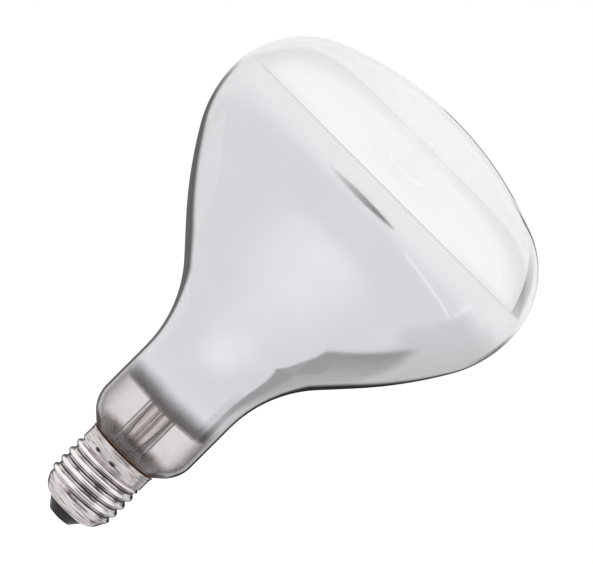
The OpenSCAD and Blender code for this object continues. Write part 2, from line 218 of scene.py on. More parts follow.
def makeCamera(settings):
    aim = Vector(settings["aim"]) / 1000
    c, s = ray(settings["elevation"])
    back = Vector((0, -c, s))
    right = Vector((1, 0, 0))
    up = back.cross(right)
    rollC, rollS = ray(settings["roll"])
    data = bpy.data.cameras.new("camera")
    data.lens, data.sensor_width = settings["lens"], 36
    data.clip_start, data.clip_end = 0.05, 50
    camera = bpy.data.objects.new("camera", data)
    scene.collection.objects.link(camera)
    camera.rotation_mode = "QUATERNION"
    turnedRight = rollC * right + rollS * up
    turnedUp = rollC * up - rollS * right
    axes = [turnedRight, turnedUp, back]
    camera.rotation_quaternion = Matrix(axes).transposed().to_quaternion()
    camera.location = aim + back * settings["distance"] / 1000
    scene.camera = camera


makeCamera(cameraSettings)
print("camera made")


# Materials

# Soda-lime glass, blown and fire polished: clear and hard. A breath of metal
# hazes it in the neck, and the burnt cement browns it inside the cap.
def makeBlownGlass(settings):
    material, tree, place = newMaterial("blownGlass")
    height = addNode(tree, "ShaderNodeSeparateXYZ", {0: place}).outputs["Z"]
    colour = linear(settings["colours"][0])
    for step, (low, high) in enumerate(settings["steps"]):
        share = addNode(tree, "ShaderNodeMapRange", {"Value": height, "From Min": low / 1000,
            "From Max": high / 1000}, interpolation_type="SMOOTHSTEP")
        colour = addNode(tree, "ShaderNodeMix", {"Factor": share, 6: colour,
            7: linear(settings["colours"][step + 1])}, data_type="RGBA")
    blots = addNode(tree, "ShaderNodeTexNoise", {"Vector": place,
        "Scale": 1000 / settings["blot"], "Detail": 3.0})
    reach = addNode(tree, "ShaderNodeMath", {0: blots.outputs["Fac"],
        1: -settings["blotReach"] / 1000, 2: height}, operation="MULTIPLY_ADD")
    unstained = addNode(tree, "ShaderNodeMapRange", {"Value": reach,
        "From Min": settings["stain"][0] / 1000, "From Max": settings["stain"][1] / 1000,
        "To Min": settings["stainClear"]}, interpolation_type="SMOOTHSTEP")
    waves = addNode(tree, "ShaderNodeTexNoise", {"Vector": place,
        "Scale": 1000 / settings["wave"], "Detail": 1.0})
    bump = addNode(tree, "ShaderNodeBump", {"Height": waves.outputs["Fac"], "Strength": 0.03,
        "Distance": 0.00003})
    shader = addNode(tree, "ShaderNodeBsdfPrincipled", {"Base Color": colour,
        "Transmission Weight": unstained, "IOR": 1.52, "Roughness": 0.0, "Normal": bump})
    finishMaterial(tree, shader)
    return material


# Lead glass, drawn and pressed while soft: clear, a little brighter at its
# edges than the bulb.
def makeStemGlass(settings):
    material, tree, place = newMaterial("leadGlass")
    cords = addNode(tree, "ShaderNodeTexNoise", {"Vector": place,
        "Scale": 1000 / settings["cord"], "Detail": 2.0})
    bump = addNode(tree, "ShaderNodeBump", {"Height": cords.outputs["Fac"], "Strength": 0.3,
        "Distance": 0.0001})
    height = addNode(tree, "ShaderNodeSeparateXYZ", {0: place}).outputs["Z"]
    clear = addNode(tree, "ShaderNodeMapRange", {"Value": height,
        "From Min": settings["clearFrom"] / 1000, "From Max": settings["clearTo"] / 1000},
        interpolation_type="SMOOTHSTEP")
    colour = addNode(tree, "ShaderNodeMix", {"Factor": clear,
        6: linear(settings["colours"][0]), 7: linear(settings["colours"][1])},
        data_type="RGBA")
    shader = addNode(tree, "ShaderNodeBsdfPrincipled", {"Base Color": colour,
        "Transmission Weight": 1.0, "IOR": 1.56, "Roughness": 0.02, "Normal": bump})
    finishMaterial(tree, shader)
    return material


# Aluminium evaporated in vacuum onto the glass: a soft bright mirror with a
# lavender cast, which thins to dark grey where it ends in the neck.
def makeFilm(settings):
    material, tree, place = newMaterial("vacuumAluminium")
    height = addNode(tree, "ShaderNodeSeparateXYZ", {0: place}).outputs["Z"]
    patches = addNode(tree, "ShaderNodeTexNoise", {"Vector": place,
        "Scale": 1000 / settings["patch"], "Detail": 3.0})
    wander = addNode(tree, "ShaderNodeMath", {0: patches.outputs["Fac"],
        1: settings["wander"] / 1000, 2: height}, operation="MULTIPLY_ADD")
    thinning = addNode(tree, "ShaderNodeMapRange", {"Value": wander,
        "From Min": settings["thinFrom"] / 1000, "From Max": settings["thinTo"] / 1000},
        interpolation_type="SMOOTHSTEP")
    shade = addNode(tree, "ShaderNodeMix", {"Factor": patches.outputs["Fac"],
        6: linear(settings["colour"]), 7: linear(settings["colourInPatches"])},
        data_type="RGBA")
    # A paler band below the top of the mirror: a painted reflection
    edge = addNode(tree, "ShaderNodeMapRange", {"Value": height,
        "From Min": settings["edgeFrom"] / 1000, "From Max": settings["edgeTo"] / 1000},
        interpolation_type="SMOOTHSTEP")
    paler = addNode(tree, "ShaderNodeMix", {"Factor": edge, 6: shade,
        7: linear(settings["edgeColour"])}, data_type="RGBA")
    onRim = addNode(tree, "ShaderNodeMath", {0: height, 1: settings["rimFrom"] / 1000},
        operation="GREATER_THAN")
    rimmed = addNode(tree, "ShaderNodeMix", {"Factor": onRim, 6: paler,
        7: linear(settings["rimColour"])}, data_type="RGBA")
    colour = addNode(tree, "ShaderNodeMix", {"Factor": thinning,
        6: linear(settings["thinColour"]), 7: rimmed}, data_type="RGBA")
    roughness = addNode(tree, "ShaderNodeMapRange", {"Value": patches.outputs["Fac"],
        "To Min": settings["roughness"] * 0.8, "To Max": settings["roughness"] * 1.2})
    solid = addNode(tree, "ShaderNodeMapRange", {"Value": wander,
        "From Min": settings["clearTo"] / 1000, "From Max": settings["solidFrom"] / 1000},
        interpolation_type="SMOOTHSTEP")
    shader = addNode(tree, "ShaderNodeBsdfPrincipled", {"Base Color": colour, "Metallic": 1.0,
        "Roughness": roughness, "Alpha": solid})
    finishMaterial(tree, shader)
    return material


# Aluminium sheet, deep drawn and rolled: bright silver, with a painted highlight on the
# crests of the thread, and painted shade in its roots and in the punch marks.
def makeCapSheet(settings):
    material, tree, place = newMaterial("rolledAluminiumSheet")
    threadHeight = addNode(tree, "ShaderNodeAttribute", attribute_name="threadHeight").outputs["Fac"]
    punched = addNode(tree, "ShaderNodeAttribute", attribute_name="punched").outputs["Fac"]
    # Dark lines run round the cap, and along the thread where it is rolled: partly rolling marks,
    # partly painted reflection
    flattened = addNode(tree, "ShaderNodeVectorMath", {0: place, 1: (0.06, 0.06, 1)},
        operation="MULTIPLY")
    climb = addNode(tree, "ShaderNodeMath", {0: threadHeight, 1: settings["lineClimb"] / 1000},
        operation="MULTIPLY")
    raised = addNode(tree, "ShaderNodeCombineXYZ", {2: climb})
    stretched = addNode(tree, "ShaderNodeVectorMath", {0: flattened, 1: raised},
        operation="ADD")
    lines = addNode(tree, "ShaderNodeTexNoise", {"Vector": stretched,
        "Scale": 1000 / settings["lines"], "Detail": 3.0})
    clouds = addNode(tree, "ShaderNodeTexNoise", {"Vector": place,
        "Scale": 1000 / settings["smudges"], "Detail": 4.0})
    uneven = addNode(tree, "ShaderNodeMath", {0: clouds.outputs["Fac"],
        1: settings["unevenness"], 2: threadHeight}, operation="MULTIPLY_ADD")
    # Painted shade: darker in the thread's roots and in the punch marks
    unshadedShare = addNode(tree, "ShaderNodeMapRange", {"Value": uneven,
        "From Min": settings["paintedShadeTo"][0], "From Max": settings["paintedShadeTo"][1]},
        interpolation_type="SMOOTHSTEP")
    unpunched = addNode(tree, "ShaderNodeMath", {0: 1.0, 1: punched}, operation="SUBTRACT")
    unshaded = addNode(tree, "ShaderNodeMath", {0: unshadedShare, 1: unpunched},
        operation="MULTIPLY")
    # A painted highlight on the crests of the thread
    crestHighlight = addNode(tree, "ShaderNodeMapRange", {"Value": threadHeight, "From Min": 0.7,
        "From Max": 0.97}, interpolation_type="SMOOTHSTEP")
    sheet = addNode(tree, "ShaderNodeMix", {"Factor": clouds.outputs["Fac"],
        6: linear(settings["sheet"]), 7: linear(settings["smudged"])}, data_type="RGBA")
    lined = addNode(tree, "ShaderNodeMapRange", {"Value": lines.outputs["Fac"],
        "From Min": settings["lineShare"][0], "From Max": settings["lineShare"][1]})
    ruled = addNode(tree, "ShaderNodeMix", {"Factor": lined, 6: linear(settings["inLines"]),
        7: sheet}, data_type="RGBA")
    highlighted = addNode(tree, "ShaderNodeMix", {"Factor": crestHighlight, 6: ruled,
        7: linear(settings["crest"])}, data_type="RGBA")
    colour = addNode(tree, "ShaderNodeMix", {"Factor": unshaded, 6: linear(settings["paintedShade"]),
        7: highlighted}, data_type="RGBA")
    roughness = addNode(tree, "ShaderNodeMapRange", {"Value": clouds.outputs["Fac"],
        "To Min": settings["gloss"][0], "To Max": settings["gloss"][1]})
    bump = addNode(tree, "ShaderNodeBump", {"Height": lines.outputs["Fac"], "Strength": 0.3,
        "Distance": 0.00004})
    shader = addNode(tree, "ShaderNodeBsdfPrincipled", {"Base Color": colour, "Metallic": 1.0,
        "Roughness": roughness, "Normal": bump})
    finishMaterial(tree, shader)
    return material


# Black glass, poured molten into the cap: glossy, with a few pits and flow
# marks.
def makeVitrite(settings):
    material, tree, place = newMaterial("blackVitrite")
    pits = addNode(tree, "ShaderNodeTexNoise", {"Vector": place,
        "Scale": 1000 / settings["pit"], "Detail": 3.0})
    flow = addNode(tree, "ShaderNodeTexNoise", {"Vector": place,
        "Scale": 1000 / settings["flow"], "Detail": 2.0})
    colour = addNode(tree, "ShaderNodeMix", {"Factor": flow.outputs["Fac"],
        6: linear(settings["colours"][0]), 7: linear(settings["colours"][1])},
        data_type="RGBA")
    roughness = addNode(tree, "ShaderNodeMapRange", {"Value": flow.outputs["Fac"],
        "To Min": settings["gloss"][0], "To Max": settings["gloss"][1]})
    bump = addNode(tree, "ShaderNodeBump", {"Height": pits.outputs["Fac"], "Strength": 0.35,
        "Distance": 0.0001})
    shader = addNode(tree, "ShaderNodeBsdfPrincipled", {"Base Color": colour,
        "Roughness": roughness, "IOR": 1.5, "Specular IOR Level": 0.35, "Normal": bump})
    finishMaterial(tree, shader)
    return material


# Phenolic cement, baked: reddish brown and matt, with sandy grains.
def makeBakedCement(settings):
    material, tree, place = newMaterial("bakedCement")
    grains = addNode(tree, "ShaderNodeTexNoise", {"Vector": place,
        "Scale": 1000 / settings["grain"], "Detail": 4.0})
    colour = addNode(tree, "ShaderNodeMix", {"Factor": grains.outputs["Fac"],
        6: linear(settings["colours"][0]), 7: linear(settings["colours"][1])},
        data_type="RGBA")
    bump = addNode(tree, "ShaderNodeBump", {"Height": grains.outputs["Fac"], "Strength": 0.7,
        "Distance": 0.00015})
    # The glow stands for the light that comes in through the glass above it
    shader = addNode(tree, "ShaderNodeBsdfPrincipled", {"Base Color": colour,
        "Roughness": 0.85, "Normal": bump, "Emission Color": colour,
        "Emission Strength": settings["glow"]})
    finishMaterial(tree, shader)
    return material


# The small metal pieces: each has two tones, a spread of gloss and a grain
metalSettings = {
    "stampedBrass": {  # warm yellow, scuffed by the press
        "colours": ("#D9B36C", "#B98F4C"), "gloss": (0.22, 0.4), "grain": 1.2, "depth": 0.03},
    "tinSolder": {  # dull silver that froze in ripples
        "colours": ("#BDBEC2", "#96979B"), "gloss": (0.25, 0.5), "grain": 0.9, "depth": 0.12},
    "drawnCopper": {  # pink, darkened by the flame
        "colours": ("#4F372D", "#271A15"), "gloss": (0.25, 0.42), "grain": 1.5, "depth": 0.01},
    "borateDumet": {  # red under its glassy skin
        "colours": ("#A84532", "#7C2C22"), "gloss": (0.2, 0.35), "grain": 0.8, "depth": 0.01},
    "drawnNickel": {  # warm grey, half bright
        "colours": ("#C9C4BA", "#A9A49B"), "gloss": (0.2, 0.38), "grain": 1.5, "depth": 0.01},
    "drawnTungsten": {  # dark steel grey
        "colours": ("#8F8D8B", "#6B6968"), "gloss": (0.3, 0.45), "grain": 0.6, "depth": 0.005},
    "drawnMolybdenum": {  # mid grey, half bright
        "colours": ("#A3A19F", "#7F7D7C"), "gloss": (0.25, 0.4), "grain": 1.0, "depth": 0.005},
}


def makeMetal(name):
    settings = metalSettings[name]
    material, tree, place = newMaterial(name)
    grain = addNode(tree, "ShaderNodeTexNoise", {"Vector": place,
        "Scale": 1000 / settings["grain"], "Detail": 3.0})
    colour = addNode(tree, "ShaderNodeMix", {"Factor": grain.outputs["Fac"],
        6: linear(settings["colours"][0]), 7: linear(settings["colours"][1])},
        data_type="RGBA")
    roughness = addNode(tree, "ShaderNodeMapRange", {"Value": grain.outputs["Fac"],
        "To Min": settings["gloss"][0], "To Max": settings["gloss"][1]})
    bump = addNode(tree, "ShaderNodeBump", {"Height": grain.outputs["Fac"], "Strength": 0.6,
        "Distance": settings["depth"] / 1000})
    shader = addNode(tree, "ShaderNodeBsdfPrincipled", {"Base Color": colour, "Metallic": 1.0,
        "Roughness": roughness, "Normal": bump})
    finishMaterial(tree, shader)
    return material


sheetSettings = {
    "sheet": "#F2EDED",
    "smudged": "#CBC1C1",
    # dark lines, partly rolling marks and partly painted reflection
    "inLines": "#6B6161",
    "lineShare": (0.33, 0.5),
    "lineClimb": 1.3,
    # painted highlight on the thread's crests
    "crest": "#FAF7F7",
    # painted shade in the thread's roots and the punch marks
    "paintedShade": "#453E3D",
    "lines": 0.35,  # dark lines round the cap, rolling marks and painted reflection, mm
    "smudges": 4,  # size of the smudges, mm
    "unevenness": 0.12,  # how far the painted shade's edge wanders, in shares of the thread's depth
    "paintedShadeTo": (0.07, 0.15),
    "gloss": (0.1, 0.2),
}

glassSettings = {
    "colours": ("#5E4235", "#F1EDED", "#FCFCFC"),  # in the cap, in the neck, above
    "steps": ((31.6, 36), (49, 56)),
    "stain": (28.6, 32.4),  # where the cement's stain ends
    "stainClear": 0.35,  # how clear the stained glass stays
    "blot": 2.5,
    "blotReach": 4,
    "wave": 26,  # unevenness of the blown wall, mm
}

filmSettings = {
    "colour": "#ECEBF0",
    "colourInPatches": "#E6E4EA",
    "thinColour": "#605B5D",
    "edgeColour": "#EFEEF0",
    "rimColour": "#DFDCE0",
    "rimFrom": 150.1,
    "patch": 14,  # size of the faint clouds, mm
    "wander": 3.6,  # how far the dark end wanders up and down, mm
    "thinFrom": 54,
    "thinTo": 60.5,
    "clearTo": 51.3,
    "solidFrom": 54,
    "edgeFrom": 141,
    "edgeTo": 147.5,
    "roughness": 0.1,
}

stemGlassSettings = {
    "colours": ("#9A8074", "#F3F0EE"),  # in the cap, above
    "clearFrom": 28.5,
    "clearTo": 34.5,
    "cord": 3,  # cords from the press, mm
}

vitriteSettings = {
    "colours": ("#0B0B0C", "#171616"),
    "gloss": (0.16, 0.36),
    "pit": 0.8,
    "flow": 4,  # flow marks, mm
}

bakedSettings = {
    "colours": ("#4A3027", "#7A5544"),
    "grain": 0.5,
    "glow": 0.6,
}

blownGlass = makeBlownGlass(glassSettings)
leadGlass = makeStemGlass(stemGlassSettings)
vacuumAluminium = makeFilm(filmSettings)
rolledAluminiumSheet = makeCapSheet(sheetSettings)
blackVitrite = makeVitrite(vitriteSettings)
bakedCement = makeBakedCement(bakedSettings)
metals = {name: makeMetal(name) for name in metalSettings}
print("materials made:", len(bpy.data.materials))


# The blown bulb. Its outline is the CAD's: arcs that meet on shared radii.

bulbSettings = {
    "bulbRadius": 62.5,
    "wall": 0.9,
    "neckRadius": 19.2,
    "neckLength": 18,
    "neckFillet": 43,
    "coneAngle": 42.2,
    "bowlRadius": 150,
    "shoulderAngle": 30,
    "backShoulder": 41,
    "frontShoulder": 32,
    "faceHeight": 38,
    "footShoulder": 12,
    "seatAngle": 47.8,
    "sealRadius": 11.7,
    "seatHeight": 29.8,
    "sealHeight": 27,
    "arcStep": 2,  # degrees
    "segments": 192,
}


def bulbOutline(settings, inset):
    # From the top of the face down to the seal, set in by a distance
    s = settings

    def arc(centre, radius, start, end):
        count = math.ceil(abs(end - start) / s["arcStep"])
        turned = [ray(start + (end - start) * k / count) for k in range(1, count + 1)]
        return [(centre[0] + radius * c, centre[1] + radius * v) for c, v in turned]

    def offset(point, length, angle):
        c, v = ray(angle)
        return point[0] + length * c, point[1] + length * v

    footX = s["neckRadius"] - s["footShoulder"]
    footPoint = offset((footX, 0), s["footShoulder"], -s["seatAngle"])
    footZ = s["seatHeight"] - footPoint[1] + (
        (footPoint[0] - s["sealRadius"]) / math.tan(math.radians(s["seatAngle"])))
    neckTop = footZ + s["neckLength"]
    filletCentre = (s["neckRadius"] + s["neckFillet"], neckTop)
    coneLow = offset(filletCentre, -s["neckFillet"], -s["coneAngle"])
    coneRise = (s["bulbRadius"] - s["backShoulder"]
        - (s["bowlRadius"] - s["backShoulder"]) * ray(s["shoulderAngle"])[0]
        + s["bowlRadius"] * ray(s["coneAngle"])[0] - coneLow[0])
    coneHigh = (coneLow[0] + coneRise,
        coneLow[1] + coneRise / math.tan(math.radians(s["coneAngle"])))
    bowlCentre = offset(coneHigh, -s["bowlRadius"], -s["coneAngle"])
    backCentre = offset(bowlCentre, s["bowlRadius"] - s["backShoulder"], -s["shoulderAngle"])
    widest = backCentre[1]
    frontX = s["bulbRadius"] - s["frontShoulder"]
    faceRise = s["faceHeight"] - s["frontShoulder"]
    faceSink = (frontX * frontX - faceRise * faceRise) / (2 * faceRise)
    faceRadius = s["faceHeight"] + faceSink
    faceCentre = (0, widest - faceSink)
    faceAngle = math.degrees(math.atan2(faceSink, frontX))
    seatInset = s["seatHeight"] + inset * math.tan(math.radians(s["seatAngle"] / 2))
    return ([(0, faceCentre[1] + faceRadius - inset)]
        + arc(faceCentre, faceRadius - inset, 90, faceAngle)
        + arc((frontX, widest), s["frontShoulder"] - inset, faceAngle, 0)
        + arc(backCentre, s["backShoulder"] - inset, 0, -s["shoulderAngle"])
        + arc(bowlCentre, s["bowlRadius"] - inset, -s["shoulderAngle"], -s["coneAngle"])
        + [offset(coneLow, -inset, -s["coneAngle"])]
        + arc(filletCentre, s["neckFillet"] + inset, 180 - s["coneAngle"], 180)
        + [(s["neckRadius"] - inset, footZ)]
        + arc((footX, footZ), s["footShoulder"] - inset, 0, -s["seatAngle"])
        + [(s["sealRadius"] - inset, seatInset), (s["sealRadius"] - inset, s["sealHeight"])])


def makeBulb(settings):
    outer = bulbOutline(settings, 0)
    inner = bulbOutline(settings, settings["wall"])
    points, faces = lathe(outer[::-1] + inner, settings["segments"])
    seatPiece(newPiece("blownBulb", points, faces, blownGlass), "blown_glass", "bulb_envelope")


makeBulb(bulbSettings)


# The mirror: a thin skin just inside the glass

mirrorSettings = {
    "lowEdge": 49.92,
    "highEdge": 150.54,
    "clearance": 0.025,
    "thickness": 0.12,
}


def cutOutline(points, low, high):
    # The stretch of an outline between two heights, cut square at its ends
    def radiusAt(height):
        for above, below in zip(points, points[1:]):
            if above[1] >= height >= below[1]:
                share = (above[1] - height) / max(1e-9, above[1] - below[1])
                return above[0] + share * (below[0] - above[0])

    inside = [p for p in points if low < p[1] < high]
    return [(radiusAt(high), high)] + inside + [(radiusAt(low), low)]


def makeMirror(settings):
    out = bulbSettings["wall"] + settings["clearance"]
    edges = settings["lowEdge"], settings["highEdge"]
    outer = cutOutline(bulbOutline(bulbSettings, out), *edges)
    inner = cutOutline(bulbOutline(bulbSettings, out + settings["thickness"]), *edges)
    points, faces = lathe(outer[::-1] + inner, bulbSettings["segments"])
    piece = newPiece("mirrorFilm", points, faces, vacuumAluminium)
    seatPiece(piece, "aluminium_film", "reflector_coating")


makeMirror(mirrorSettings)
print("bulb and mirror made")


# The screw cap: a turned sheet, dented by the punch that fixed it, and then
# rolled into its thread by a tree

capSettings = {
    "height": 30.4,
    "rootRadius": 12.05,
    "skirtRadius": 12.75,
    "skirtFrom": 24.4,
    "skirtStep": 0.7,
    "lip": 0.3,
    "lipHeight": 1.2,
    "sheet": 0.3,
    "arcRadius": 6.2,
    "arcX": 5.85,
    "arcZ": 10.14,
    "holeRadius": 7,
    "rowStep": 0.17,
    "segments": 256,
    "dents": [(-6.4, 26.3), (0.4, 26.3)],  # distance round from the front, height
    "dentSize": (1.45, 0.7),
    "dentDepth": 0.28,
    "dentEdge": 1.7,  # more is steeper
}

threadSettings = {  # in metres, as the tree's inputs
    "Pitch": 0.003629,
    "Arc Radius": 0.001025,
    "Depth": 0.0011,
    "Start Height": 0.01014,
    "Start Turn": 0.93,
    "Foot From": 0.00774,
    "Foot To": 0.01114,
    "Head From": 0.0234,
    "Head To": 0.0247,
}


def capRadius(settings, z, inset):
    s = settings
    if z < s["arcZ"]:
        rise = (s["arcRadius"] - inset) ** 2 - (s["arcZ"] - z) ** 2
        return s["arcX"] + math.sqrt(max(0, rise))
    return (s["rootRadius"] - inset
        + (s["skirtRadius"] - s["rootRadius"]) * smoothStep((z - s["skirtFrom"]) / s["skirtStep"])
        + s["lip"] * smoothStep((z - s["height"] + s["lipHeight"]) / s["lipHeight"]))


def makeCap(settings):
    s = settings
    walls, half = [], s["sheet"] / 2
    for inset in (0, s["sheet"]):
        reach = s["arcRadius"] - inset
        edge = math.degrees(math.acos((s["holeRadius"] - s["arcX"]) / reach))
        heights = [s["arcZ"] - reach * ray(edge * k / 14)[1] for k in range(14, 0, -1)]
        straight = s["height"] - half - s["arcZ"]
        rows = round(straight / s["rowStep"])
        heights += [s["arcZ"] + straight * k / rows for k in range(rows + 1)]
        walls.append([(capRadius(s, z, inset), z) for z in heights])
    rimX = s["skirtRadius"] + s["lip"] - half
    rim = [(rimX + half * ray(a)[0], s["height"] - half + half * ray(a)[1])
        for a in (30, 60, 90, 120, 150)]
    points, faces = lathe(walls[0] + rim + walls[1][::-1], s["segments"])
    dented, marks = [], []
    for x, y, z in points:
        radius, angle, mark = math.hypot(x, y), math.atan2(x, -y), 0
        for across, height in s["dents"]:
            offRound = (angle * s["skirtRadius"] - across) / s["dentSize"][0]
            offHeight = (z - height) / s["dentSize"][1]
            share = smoothStep(s["dentEdge"] * (1 - offRound ** 2 - offHeight ** 2))
            radius -= s["dentDepth"] * share
            mark = max(mark, share)
        dented.append((radius * math.sin(angle), -radius * math.cos(angle), z))
        marks.append(mark)
    piece = newPiece("screwCap", dented, faces, rolledAluminiumSheet, 60)
    # The dents' share, which the sheet's colour darkens as painted shade
    piece.data.attributes.new("punched", "FLOAT", "POINT").data.foreach_set("value", marks)
    return piece


def threadTree():
    # Offsets each point outwards by the height of a rolled thread: arcs of one
    # radius for crest and root, fading out at the foot and the head
    tree, size = newTree("rollThread", threadSettings)
    place = addNode(tree, "GeometryNodeInputPosition")
    part = addNode(tree, "ShaderNodeSeparateXYZ", {0: place}).outputs
    values = {socket.name: socket for socket in size}
    values.update(x=part[0], y=part[1], z=part[2])
    # Each row names a value: how it is worked out, and from which others
    for name, operation, *terms in (
            ("turn", "ARCTAN2", "y", "x"),
            ("share", "DIVIDE", "turn", 2 * math.pi),
            ("rise", "SUBTRACT", "z", "Start Height"),
            ("turns", "DIVIDE", "rise", "Pitch"),
            ("unrolled", "SUBTRACT", "turns", "share"),
            ("phase", "SUBTRACT", "unrolled", "Start Turn"),
            ("fromCrest", "PINGPONG", "phase", 0.5),
            ("isCrest", "LESS_THAN", "fromCrest", 0.25),
            ("crestX", "MULTIPLY", "fromCrest", "Pitch"),
            ("rootX", "MULTIPLY_ADD", "Pitch", -0.5, "crestX"),
            ("squared", "MULTIPLY", "Arc Radius", "Arc Radius"),
            ("crestArea", "MULTIPLY", "crestX", "crestX"),
            ("crestRest", "SUBTRACT", "squared", "crestArea"),
            ("crestSafe", "MAXIMUM", "crestRest", 0.0),
            ("crestArc", "SQRT", "crestSafe"),
            ("rootArea", "MULTIPLY", "rootX", "rootX"),
            ("rootRest", "SUBTRACT", "squared", "rootArea"),
            ("rootSafe", "MAXIMUM", "rootRest", 0.0),
            ("rootArc", "SQRT", "rootSafe"),
            ("crestFoot", "SUBTRACT", "Depth", "Arc Radius"),
            ("crest", "ADD", "crestFoot", "crestArc"),
            ("root", "SUBTRACT", "Arc Radius", "rootArc")):
        inputs = {slot: values.get(term, term) for slot, term in enumerate(terms)}
        values[name] = addNode(tree, "ShaderNodeMath", inputs, operation=operation)
    ridge = addNode(tree, "ShaderNodeMix", {0: values["isCrest"], 2: values["root"],
        3: values["crest"]})
    foot = addNode(tree, "ShaderNodeMapRange", {"Value": part[2],
        "From Min": size["Foot From"], "From Max": size["Foot To"]},
        interpolation_type="SMOOTHSTEP")
    head = addNode(tree, "ShaderNodeMapRange", {"Value": part[2], "From Min": size["Head To"],
        "From Max": size["Head From"]}, interpolation_type="SMOOTHSTEP")
    strength = addNode(tree, "ShaderNodeMath", {0: foot, 1: head}, operation="MULTIPLY")
    height = addNode(tree, "ShaderNodeMath", {0: strength, 1: ridge}, operation="MULTIPLY")
    flat = addNode(tree, "ShaderNodeVectorMath", {0: place, 1: (1, 1, 0)},
        operation="MULTIPLY")
    outwards = addNode(tree, "ShaderNodeVectorMath", {0: flat}, operation="NORMALIZE")
    offset = addNode(tree, "ShaderNodeVectorMath", {0: outwards, "Scale": height},
        operation="SCALE")
    rolled = addNode(tree, "GeometryNodeSetPosition", {"Geometry": size["Geometry"],
        "Offset": offset})
    # The sheet's colour reads how high on the thread it lies: painted shade in the roots, a
    # painted highlight on the crests
    onThread = addNode(tree, "ShaderNodeMath", {0: ridge, 1: size["Depth"]},
        operation="DIVIDE")
    threadHeight = addNode(tree, "ShaderNodeMix", {0: strength, 2: 0.6, 3: onThread})
    kept = addNode(tree, "GeometryNodeStoreNamedAttribute", {"Geometry": rolled,
        "Name": "threadHeight", "Value": threadHeight}, data_type="FLOAT", domain="POINT")
    closeTree(tree, kept, rolledAluminiumSheet)
    return tree


screwCap = makeCap(capSettings)
runTree(screwCap, threadTree(), threadSettings, 60)
seatPiece(screwCap, "cap_sheet", "screw_shell")


# The black bead, the contact plate and its solder, all turned

beadSettings = {
    "endRadius": 4.6,
    "endRound": 0.6,
    "endHeight": 0.55,
    "edgeHeight": 4.05,
    "edgeRadius": 6.95,
    "topHeight": 7.45,
    "recess": (3.35, 0.76),
    "boreRadius": 0.55,
    "slope": [(5.5, 2.1), (6.7, 3.6)],  # from the end up to the edge
    "edgeRise": 0.9,
    "clearance": 0.1,
    "segments": 128,
}

contactSettings = {
    "plateRadius": 3.3,
    "plateFrom": 0.35,
    "plateTo": 0.75,
    "edgeRound": 0.12,
    "boreRadius": 0.3,
    "solderRadius": 2,
    "solderHeight": 0.35,
    "flatRadius": 1.1,
}


def makeBead(settings):
    s = settings
    inner = capSettings["arcRadius"] - capSettings["sheet"] - s["clearance"]
    bowl = [(capSettings["arcX"] + inner * ray(a)[0], capSettings["arcZ"] - inner * ray(a)[1])
        for a in (80, 70, 60, 50, 40, 30)]
    bowl = [p for p in bowl if s["edgeHeight"] + s["edgeRise"] < p[1] < s["topHeight"]]
    topRadius = capSettings["arcX"] + math.sqrt(
        inner ** 2 - (capSettings["arcZ"] - s["topHeight"]) ** 2)
    corner = [(s["endRadius"] - s["endRound"] + s["endRound"] * ray(a)[0],
        s["endHeight"] + s["endRound"] + s["endRound"] * ray(a)[1])
        for a in (-90, -65, -40, -22)]
    points, faces = lathe(
        [(s["boreRadius"], s["recess"][1]), (s["recess"][0], s["recess"][1]),
            (s["recess"][0], s["endHeight"])] + corner
        + s["slope"] + [(s["edgeRadius"], s["edgeHeight"]),
            (s["edgeRadius"], s["edgeHeight"] + s["edgeRise"])]
        + bowl + [(topRadius, s["topHeight"]), (s["boreRadius"], s["topHeight"])],
        s["segments"])
    piece = newPiece("vitriteBead", points, faces, blackVitrite, 50)
    seatPiece(piece, "black_bead", "cap_insulator")


def makeContact(settings):
    s = settings
    r, low, high, edge = s["plateRadius"], s["plateFrom"], s["plateTo"], s["edgeRound"]
    points, faces = lathe([(s["boreRadius"], low), (r - edge, low),
        (r - edge / 4, low + edge / 3), (r, low + edge), (r, high),
        (s["boreRadius"], high)], 96)
    plate = newPiece("contactPlate", points, faces, metals["stampedBrass"])
    seatPiece(plate, "contact_brass", "contact_plate")
    dome = [(s["flatRadius"] + (s["solderRadius"] - s["flatRadius"]) * t,
        s["solderHeight"] * (1 - math.sqrt(max(0, 1 - t * t)))) for t in
        (0, 0.2, 0.4, 0.6, 0.78, 0.9, 0.97, 1)]
    points, faces = lathe([(0, 0)] + dome + [(0, s["solderHeight"])], 64)
    blob = newPiece("contactSolder", points, faces, metals["tinSolder"])
    seatPiece(blob, "solder", "contact_solder")


makeBead(beadSettings)
makeContact(contactSettings)


# What shows between the glass and the rim: cement with a slot for the side
# wire, and the weld that holds that wire

cementSettings = {
    "inRadius": 11.75,
    "outRadius": 12.35,
    "lowHeight": 25.15,
    "rimHeight": 30.1,
    "seatHeight": 29.7,
    "slotWidth": 0.8,
    "chamfer": 0.35,
    "segments": 240,
}

weldSettings = {"x": 12.075, "radius": 0.35, "from": 28.6, "to": 29.6}


def makeCement(settings):
    s = settings
    half = math.asin(s["slotWidth"] / 2 / s["inRadius"])
    section = [(s["inRadius"], s["lowHeight"]), (s["outRadius"], s["lowHeight"]),
        (s["outRadius"], s["rimHeight"]), (s["inRadius"] + s["chamfer"], s["rimHeight"]),
        (s["inRadius"], s["seatHeight"])]
    points, faces, count = [], [], s["segments"]
    for i in range(count + 1):
        angle = half + (2 * math.pi - 2 * half) * i / count
        points += [(r * math.cos(angle), r * math.sin(angle), z) for r, z in section]
    size = len(section)
    for i in range(count):
        for k in range(size):
            a, n = i * size, (k + 1) % size
            faces.append([a + k, a + size + k, a + size + n, a + n])
    faces.append(list(range(size)))
    faces.append([count * size + k for k in range(size - 1, -1, -1)])
    piece = newPiece("basingCement", points, faces, bakedCement)
    seatPiece(piece, "cement", "basing_cement")


